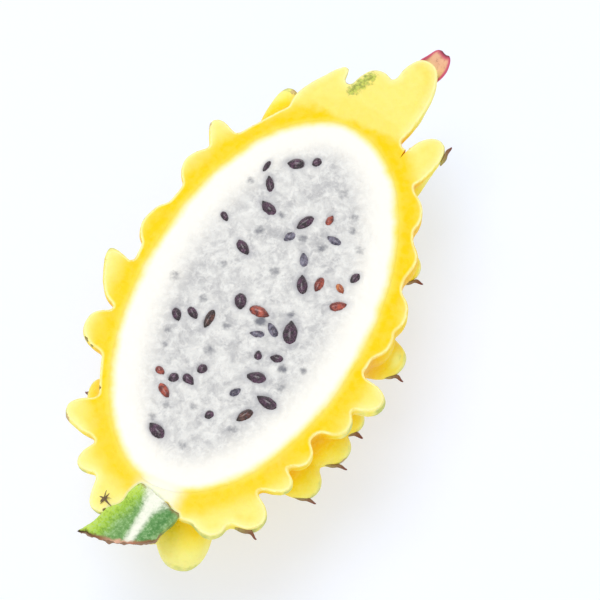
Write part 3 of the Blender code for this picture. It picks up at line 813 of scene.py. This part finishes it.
# ---- peel: body and knobs blended, cut level, hollowed -----------------------------
def make_peel(stub):
    fresh()
    bpy.ops.mesh.primitive_uv_sphere_add(
        segments=72, ring_count=48, radius=MM, location=at(BODY_X, 0, 0),
        rotation=(0, math.radians(90), 0), scale=(BODY_HALF[2], BODY_HALF[1], BODY_HALF[0]))
    peel = named("peel")
    settle(peel)
    balls = [knob(*shape) for *shape, _ in all_knobs]
    join(balls + [peel], peel)
    finish_with(peel, 'REMESH', mode='VOXEL', voxel_size=PEEL_BLEND * MM)
    finish_with(peel, 'SMOOTH', factor=0.5, iterations=5)
    # uneven flesh under the skin, and shallow wrinkles running up the knobs
    points, out = points_of(peel), normals_of(peel)
    lift = rough(points, 7.0, 1) * 0.30 + rough(points, 2.6, 2) * 0.14
    points += out * lift[:, None]
    set_points(peel, points)
    cut_off(peel, at(0, 0, 0), (0, 0, 1))
    cut_off(peel, at(0, 0, TABLE_Z), (0, 0, -1))
    finish_with(peel, 'REMESH', mode='VOXEL', voxel_size=PEEL_FINE * MM)
    points = points_of(peel)
    level = points[:, 2] > -0.30
    foot = points[:, 2] < TABLE_Z + 0.30
    points[level, 2] = 0
    points[foot, 2] = TABLE_Z
    set_points(peel, points)

    # the cleft beside the longest finger, the hollow for the flesh, the stem's seat
    fresh()
    bpy.ops.mesh.primitive_cone_add(vertices=3, radius1=1, radius2=1, depth=1)
    cleft = named("cleft")
    across = (CLEFT_MOUTH - CLEFT_ROOT).cross(Vector((0, 0, 1))).normalized() * CLEFT_WIDTH / 2
    plan = [CLEFT_ROOT, CLEFT_MOUTH + across, CLEFT_MOUTH - across]
    x, y, z = corners_of(cleft).T
    turns = np.round(np.degrees(np.arctan2(x, y)) / 120).astype(int) % 3
    set_points(cleft, [list(plan[k].xy) + [-CLEFT_DEPTH if low else 2.0]
                       for k, low in zip(turns, z < 0)])
    edit(cleft)
    bpy.ops.mesh.normals_make_consistent(inside=False)
    bpy.ops.object.mode_set(mode='OBJECT')
    finish_with(peel, 'BOOLEAN', operation='DIFFERENCE', object=cleft, solver='EXACT')
    fresh()
    bpy.ops.mesh.primitive_uv_sphere_add(
        segments=128, ring_count=64, radius=MM, location=at(0, 0, 0),
        rotation=(0, math.radians(90), 0),
        scale=(FLESH_DEEP - 0.05, FLESH_WIDE - 0.05, FLESH_LONG - 0.05))
    hollow = named("hollow")
    settle(hollow)
    finish_with(peel, 'BOOLEAN', operation='DIFFERENCE', object=hollow, solver='EXACT')
    only(stub)
    bpy.ops.object.duplicate()
    seat = named("stem_seat")
    tall = points_of(seat)
    tall[:, 2] = np.where(tall[:, 2] > -0.25, 1.0, tall[:, 2])
    set_points(seat, tall)
    finish_with(peel, 'BOOLEAN', operation='DIFFERENCE', object=seat, solver='EXACT')
    for tool in (cleft, hollow, seat):
        bpy.data.objects.remove(tool, do_unlink=True)
    return peel


def finish_peel(peel):
    points, out = points_of(peel), normals_of(peel)
    x, y, z = points.T
    mesh = peel.data
    middles = np.empty(len(mesh.polygons) * 3, np.float32)
    facing = np.empty(len(mesh.polygons) * 3, np.float32)
    mesh.polygons.foreach_get("center", middles)
    mesh.polygons.foreach_get("normal", facing)
    middles = (middles.reshape(-1, 3) - np.array(HEART)) / MM
    facing = facing.reshape(-1, 3)
    top = (middles[:, 2] > -0.05) & (facing[:, 2] > 0.5)
    within = ((middles[:, 0] / FLESH_LONG) ** 2 + (middles[:, 1] / FLESH_WIDE) ** 2
              + (middles[:, 2] / FLESH_DEEP) ** 2) < 1.0004
    mesh.polygons.foreach_set("material_index",
                              np.where(top, CUT, np.where(within, PITH, SKIN)).astype(np.int32))

    gap = from_flesh(x, y)
    # height above the body, which the skin uses for painted shade low between the knobs
    body = np.sqrt(((x - BODY_X) / BODY_HALF[0]) ** 2 + (y / BODY_HALF[1]) ** 2
                   + (z / BODY_HALF[2]) ** 2)
    far = np.sqrt((x - BODY_X) ** 2 + y * y + z * z)
    height = (body - 1) * far / np.maximum(body, 0.1)

    # distance from the outline of the cut, on both sides of it
    level = z > -0.02
    beside = (z < -0.02) & (z > -1.2) & (gap > 0.6)
    skin_edge = tree_of(points[beside] * (1, 1, 0))
    to_skin = np.full(len(points), 9.0)
    for i in np.flatnonzero(level & (gap > -0.2)):
        to_skin[i] = skin_edge.find((x[i], y[i], 0))[2]
    to_skin[~level] = -z[~level]

    # how near each point is to the tip of its knob
    tip = np.zeros(len(points))
    scar = np.zeros(len(points))
    pick = random.Random(5)
    for along, around, reach, lean, root, tip_r, *_ in all_knobs:
        point, axis = knob_axis(along, around, lean)
        local = points - np.array(point)
        up = local @ np.array(axis)
        side = local - np.outer(up, np.array(axis))
        near = np.linalg.norm(side, axis=1)
        share = up / max(reach, 4.0)
        tip = np.maximum(tip, smooth(share, 0.35, 1.1) * smooth(near, root * 1.5, root * 0.7))
        if reach > 5:
            spot = np.array(point + axis * (reach * pick.uniform(0.72, 0.92)))
            spot += np.array((pick.uniform(-1, 1), pick.uniform(-1, 1), pick.uniform(0, 1))) * tip_r
            scar = np.maximum(scar, smooth(np.linalg.norm(points - spot, axis=1),
                                           pick.uniform(1.8, 2.6), 0.4))
    speck = np.zeros(len(points))
    for fx, fy, fz, size in FLECKS:
        speck = np.maximum(speck, smooth(np.linalg.norm(points - np.array((fx, fy, fz)), axis=1),
                                         size, 0.2))
    first, last, wide = (np.array(v) for v in BRUISE)
    share = (((points[:, :2] - first) @ (last - first)) / ((last - first) ** 2).sum()).clip(0, 1)
    off = np.linalg.norm(points[:, :2] - first - np.outer(share, last - first), axis=1)
    bruise = smooth(off, wide, 0.2)
    # painted shade in the creases: where the smoothed surface lies outside the real one
    calm = np.stack([relax(peel, points[:, k], 14) for k in range(3)], 1)
    crease_shade = ((calm - points) * out).sum(1)
    crease_shade = relax(peel, smooth(crease_shade, 0.02, 0.42), 3)

    # the knife leaves the cut a little rounded at the skin, and not quite even
    drop = np.zeros(len(points))
    drop[level] = (-0.30 * np.exp(-to_skin[level] / 0.5)
                   + rough(points[level], 4.5, 4) * 0.12 * smooth(gap[level], 0.3, 2.0)
                   - 0.10 * smooth(gap[level], 0.3, 2.0))
    points[:, 2] += drop
    set_points(peel, points)

    paint(peel, "from_flesh", gap)
    paint(peel, "to_skin", to_skin)
    paint(peel, "height", height)
    paint(peel, "tip", tip)
    paint(peel, "crease_shade", crease_shade)
    paint(peel, "scar", scar)
    paint(peel, "speck", speck)
    paint(peel, "bruise", bruise)
    paint(peel, "core", stem_core(x, y))
    paint(peel, "top", smooth(x, 43.0, 49.0))
    for look in ("peel_cut", "peel_skin", "peel_pith"):
        mesh.materials.append(LOOKS[look])
    only(peel)
    bpy.ops.object.shade_smooth_by_angle(angle=math.radians(55))
    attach(peel, "root")
    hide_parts("rind")


# ---- flesh: a level top with a bowl drawn out below it ------------------------------
def make_pulp():
    fresh()
    bpy.ops.mesh.primitive_grid_add(x_subdivisions=228, y_subdivisions=124, size=2)
    pulp = named("pulp")
    x, y, _ = corners_of(pulp).T
    flat = np.stack([x * np.sqrt(1 - y * y / 2) * FLESH_LONG,
                     y * np.sqrt(1 - x * x / 2) * FLESH_WIDE, 0 * x], 1)
    set_points(pulp, flat)
    edit(pulp)
    bpy.ops.mesh.region_to_loop()
    rings, size, deep = 26, 1.0, 0.0
    for i in range(1, rings + 1):
        turn = math.radians(90 * i / (rings + 1))
        bpy.ops.mesh.extrude_region_move()
        bpy.ops.transform.translate(value=(0, 0, (deep - math.sin(turn)) * FLESH_DEEP * MM))
        factor = math.cos(turn) / size
        bpy.ops.transform.resize(value=(factor, factor, 1), center_override=at(0, 0, 0))
        size, deep = math.cos(turn), math.sin(turn)
    bpy.ops.mesh.extrude_region_move()
    bpy.ops.transform.translate(value=(0, 0, (deep - 1) * FLESH_DEEP * MM))
    bpy.ops.mesh.merge(type='CENTER')
    bpy.ops.mesh.select_all(action='SELECT')
    bpy.ops.mesh.normals_make_consistent(inside=False)
    bpy.ops.object.mode_set(mode='OBJECT')

    points = points_of(pulp)
    x, y, z = points.T
    gap = from_flesh(x, y)
    top = z > -0.01
    face = points[top]
    # fibres: ridged noise bent by slower noise, fading into the smooth white band
    bend = np.stack([rough(face, 5.0, 11), rough(face, 5.0, 12), 0 * face[:, 0]], 1)
    drawn = face * (1.0, 1.35, 1.0) + bend * 2.2
    fibre = 1 - np.abs(rough(drawn, 1.9, 13)) * 2
    soft = rough(face, 3.6, 14)
    fine = rough(drawn, 0.8, 15)
    inner = smooth(gap[top], -2.0, -7.0)
    lift = inner * (0.26 * soft + 0.17 * fibre + 0.09 * fine - 0.12)
    lift += smooth(gap[top], -0.3, -1.5) * 0.05 * rough(face, 1.6, 16)
    seed_shade_halo = np.zeros(len(points))
    hollow = np.zeros(top.sum())
    for sx, sy, long, wide, heading, look in SEEDS:
        turn = math.radians(heading)
        ax, ay = x - sx, y - sy
        u = (ax * math.cos(turn) + ay * math.sin(turn)) / (long / 2)
        v = (-ax * math.sin(turn) + ay * math.cos(turn)) / (wide / 2)
        ring = np.sqrt(u * u + v * v)
        # painted shade: a grey halo round each seed, darker round the dark seeds
        seed_shade_halo = np.maximum(seed_shade_halo, smooth(ring, 1.85, 0.95) * (0.9 if look in "db" else 0.6))
        edge = ring[top]
        hollow += np.exp(-((edge - 1.22) / 0.22) ** 2) * 0.13 - smooth(edge, 1.1, 0.7) * 0.22
    smudge = np.zeros(len(points))
    for gx, gy, size, dark in GHOSTS:
        reach = np.hypot(x - gx, y - gy) / (size * 1.25)
        smudge = np.maximum(smudge, smooth(reach, 1.35, 0.15) * dark)
    points[top, 2] += 0.02 + (lift + hollow) * smooth(gap[top], -0.2, -1.2)
    set_points(pulp, points)
    paint(pulp, "from_flesh", gap)
    paint(pulp, "seed_shade_halo", seed_shade_halo)
    paint(pulp, "core", stem_core(x, y))
    paint(pulp, "smudge", smudge)
    pulp.data.materials.append(LOOKS["pulp"])
    only(pulp)
    bpy.ops.object.shade_smooth_by_angle(angle=math.radians(70))
    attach(pulp, "root")
    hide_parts("flesh")


# ---- seeds ----------------------------------------------------------------------------
def make_seed(number, sx, sy, long, wide, heading, look):
    fresh()
    bpy.ops.mesh.primitive_uv_sphere_add(segments=22, ring_count=18, radius=0.5,
                                         rotation=(0, math.radians(90), 0))
    seed = named(f"seed_body_{number:02d}")
    settle(seed)
    x, y, z = corners_of(seed).T
    pick = random.Random(number)
    away = np.where(x > 0.1, (x - 0.1) / 0.4, (0.1 - x) / 0.6).clip(0, 1)
    girth = np.where(x > 0.1, (1 - away ** 2.3) ** (1 / 2.3), (1 - away ** 1.9) ** 0.85)
    taper = 0.5 * girth / np.maximum(np.sqrt((0.25 - x * x).clip(0)), 1e-3)
    bend = pick.uniform(-0.22, 0.22)
    thick = wide * SEED_FLAT
    local = np.stack([x * long, (y * taper + bend * np.maximum(0, -x - 0.1) ** 1.4) * wide,
                      z * taper * thick * 1.12], 1)
    # a faint ridge along the back, and dents of the dried coat
    bumps = np.array([noise.noise(Vector(p) * 1.6 + Vector((number, 0, 0))) for p in local])
    local *= (1 + 0.07 * bumps)[:, None]
    local[:, 2] += 0.10 * thick * np.exp(-(local[:, 1] / (0.18 * wide)) ** 2) * (z > 0)
    turn = math.radians(heading)
    lean = Matrix.Rotation(turn, 3, 'Z') @ Matrix.Rotation(math.radians(pick.uniform(-7, 7)), 3, 'Y')
    place = local @ np.array(lean).T
    sink = 0.16 * thick if look == "v" else 0.0
    place += np.array((sx, sy, thick * (SEED_PROUD - 0.5) - sink))
    set_points(seed, place)
    paint(seed, "tail", smooth(x, -0.18, -0.42))
    seed.data.materials.append(LOOKS[look])
    seed.data.shade_smooth()
    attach(seed, "root")
    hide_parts(f"seed_{number:02d}")


# ---- bracts ------------------------------------------------------------------------------
def make_bract(number, end, axis, side, length, knob_size, pink):
    """A thin dried scale that hugs its knob, then narrows to a curled point."""
    reach, root, tip_r = knob_size
    pick = random.Random(100 + number)
    fresh()
    bpy.ops.mesh.primitive_grid_add(x_subdivisions=10, y_subdivisions=18, size=2)
    blade = named(f"bract_scale_{number:02d}")
    u, v, _ = corners_of(blade).T
    t = (v + 1) / 2
    side, axis = np.array(side), np.array(axis)
    width = np.cross(side, axis)
    if pink:
        # a broad cup under the end of the finger, turned a little outward
        forward = axis * 0.977 + side * 0.213
        across = side * 0.977 - axis * 0.213
        run = -3.6 + 8.2 * t
        half = 3.1 * (1 - (0.97 * t) ** 3.2) ** 0.5 * (0.72 + 0.28 * smooth(t, 0, 0.4))
        spread = u * half
        up = -2.3 + 0.17 * spread ** 2 + 1.5 * smooth(t, 0.55, 1.0) + 0.25 * np.sin(spread * 2.1 + t * 5)
        local = (np.outer(run, forward) + np.outer(spread + 1.0, across)
                 + np.outer(np.minimum(up, 0.35), (0, 0, 1)))
        rim = np.maximum(np.abs(u) ** 3, smooth(t, 0.72, 1.0))
    else:
        run = -4.0 + (4.0 + 0.24 * length) * t
        inside = np.maximum(-run, 1.3)
        grown = 1 - inside / (reach + root)
        round_z = np.abs(2 * grown - 1)
        radius = (root + (tip_r - root) * grown ** 1.2) * (1 - round_z ** 2.5) ** 0.4
        hug = radius * 0.97 + 0.05 - 0.20 * (inside + run).clip(0)
        hook = pick.uniform(0.2, 0.9) * smooth(t, 0.62, 1.0)
        swing = pick.uniform(-0.7, 0.7) * smooth(t, 0.5, 1.0)
        half = (0.95 - 0.55 * smooth(t, 0.4, 1.0)) * (1 - t ** 6) ** 0.5
        half = half * (0.30 + 0.70 * smooth(t, 0.0, 0.45)) + 0.05
        keel = 0.5 * (1 - np.abs(u) ** 1.4) * half
        twist = pick.uniform(-0.5, 0.5) * t
        local = (np.outer(run, axis)
                 + np.outer(hug + hook + keel + u * half * np.sin(twist) * 0.5, side)
                 + np.outer(u * half * np.cos(twist) * (1 + 0.2 * np.sin(t * 11)) + swing, width))
        rim = np.abs(u) ** 2
    set_points(blade, local + np.array(end))
    paint(blade, "along", t)
    paint(blade, "rim", rim)
    finish_with(blade, 'SOLIDIFY', thickness=(0.45 if pink else 0.32) * MM, offset=0.0)
    finish_with(blade, 'SUBSURF', levels=1, render_levels=1)
    blade.data.materials.append(LOOKS["bract_pink" if pink else "bract"])
    blade.data.shade_smooth()
    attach(blade, "root")
    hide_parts(f"bract_{number:02d}")


def make_tuft():
    """Dry spines that spread from one scar beside the stem."""
    pick = random.Random(31)
    spines = []
    for i in range(9):
        fresh()
        turn = math.radians(40 * i + pick.uniform(-26, 26))
        rise = math.radians(pick.uniform(4, 44))
        long = pick.uniform(0.7, 2.3)
        ahead = Vector((math.cos(turn) * math.cos(rise), math.sin(turn) * math.cos(rise),
                        math.sin(rise)))
        bpy.ops.mesh.primitive_cone_add(
            vertices=6, radius1=pick.uniform(0.14, 0.32) * MM, radius2=0.04 * MM, depth=long * MM,
            location=at(*(Vector(TUFT_AT) + ahead * long / 2)),
            rotation=ahead.to_track_quat('Z', 'Y').to_euler())
        spine = named("spine")
        settle(spine)
        edit(spine)
        bpy.ops.mesh.subdivide(number_cuts=3)
        bpy.ops.object.mode_set(mode='OBJECT')
        points = points_of(spine)
        away = points - np.array(TUFT_AT)
        share = (away @ np.array(ahead)) / long
        points += np.outer(0.5 * (share.clip(0) ** 2) * pick.uniform(-1, 1),
                           np.array(ahead.cross(Vector((0, 0, 1)))))
        points[:, 2] -= 0.5 * share.clip(0) ** 2
        set_points(spine, points)
        spines.append(spine)
    join(spines, spines[0])
    tuft = named("scar_spines")
    paint(tuft, "along", np.ones(len(tuft.data.vertices)))
    tuft.data.materials.append(LOOKS["spine"])
    tuft.data.shade_smooth()
    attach(tuft, "root")


stub, stub_level, stub_end = make_stem()
peel = make_peel(stub)
finish_stem(stub, stub_level, stub_end)
finish_peel(peel)
make_pulp()
for number, seed in enumerate(SEEDS, 1):
    make_seed(number, *seed)
make_tuft()
number = 0
for along, around, reach, lean, root, tip, curl, bract in all_knobs:
    if bract:
        number += 1
        point, axis = knob_axis(along, around, lean)
        turn, slant = math.radians(around), math.radians(lean)
        side = (Vector((0, math.cos(turn), math.sin(turn))) * math.sin(slant)
                - Vector((math.cos(slant), 0, 0)))
        end = point + axis * reach + Vector((curl, 0, 0))
        make_bract(number, end, axis, side, bract, (reach, root, tip), number == PINK_BRACT)
